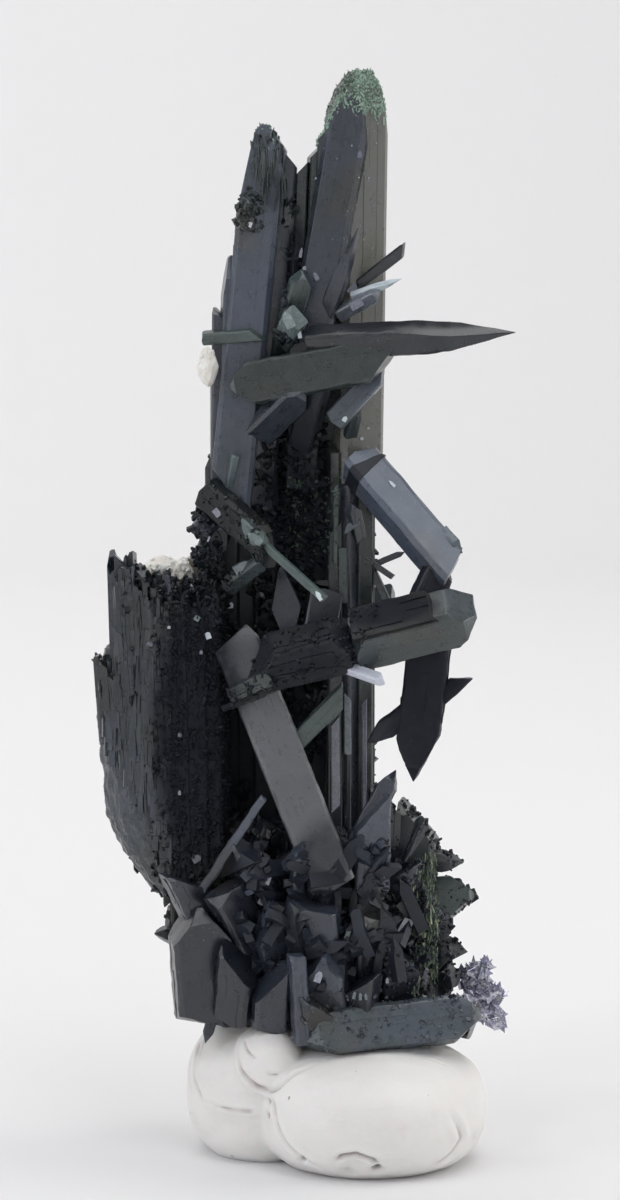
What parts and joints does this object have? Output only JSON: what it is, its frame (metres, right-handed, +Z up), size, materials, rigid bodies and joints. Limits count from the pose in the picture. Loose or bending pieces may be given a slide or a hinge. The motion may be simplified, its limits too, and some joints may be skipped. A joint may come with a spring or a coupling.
{
  "type": "aegirine crystal cluster",
  "caption": "Upright cluster of black-green prismatic crystals with blades across it and a crust of small crystals at its foot, standing in a lump of white putty.",
  "frame": {"origin": "on the putty's flat underside, below the middle of the crystals' foot", "axes": "+Z up along the tall prisms, -Y towards the front that the picture shows, +X to its right"},
  "size_m": [0.0252, 0.0177, 0.0648],
  "materials": {
    "aegirine": "satin",
    "feldspar": "matte",
    "flakes": "gloss",
    "putty": "matte"
  },
  "bodies": {
    "root": {"aegirine_cluster": "aegirine", "feldspar_grain_upper": "feldspar", "feldspar_grain_lower": "feldspar", "silvery_flakes": "flakes", "putty_base": "putty"}
  },
  "joints": []
}
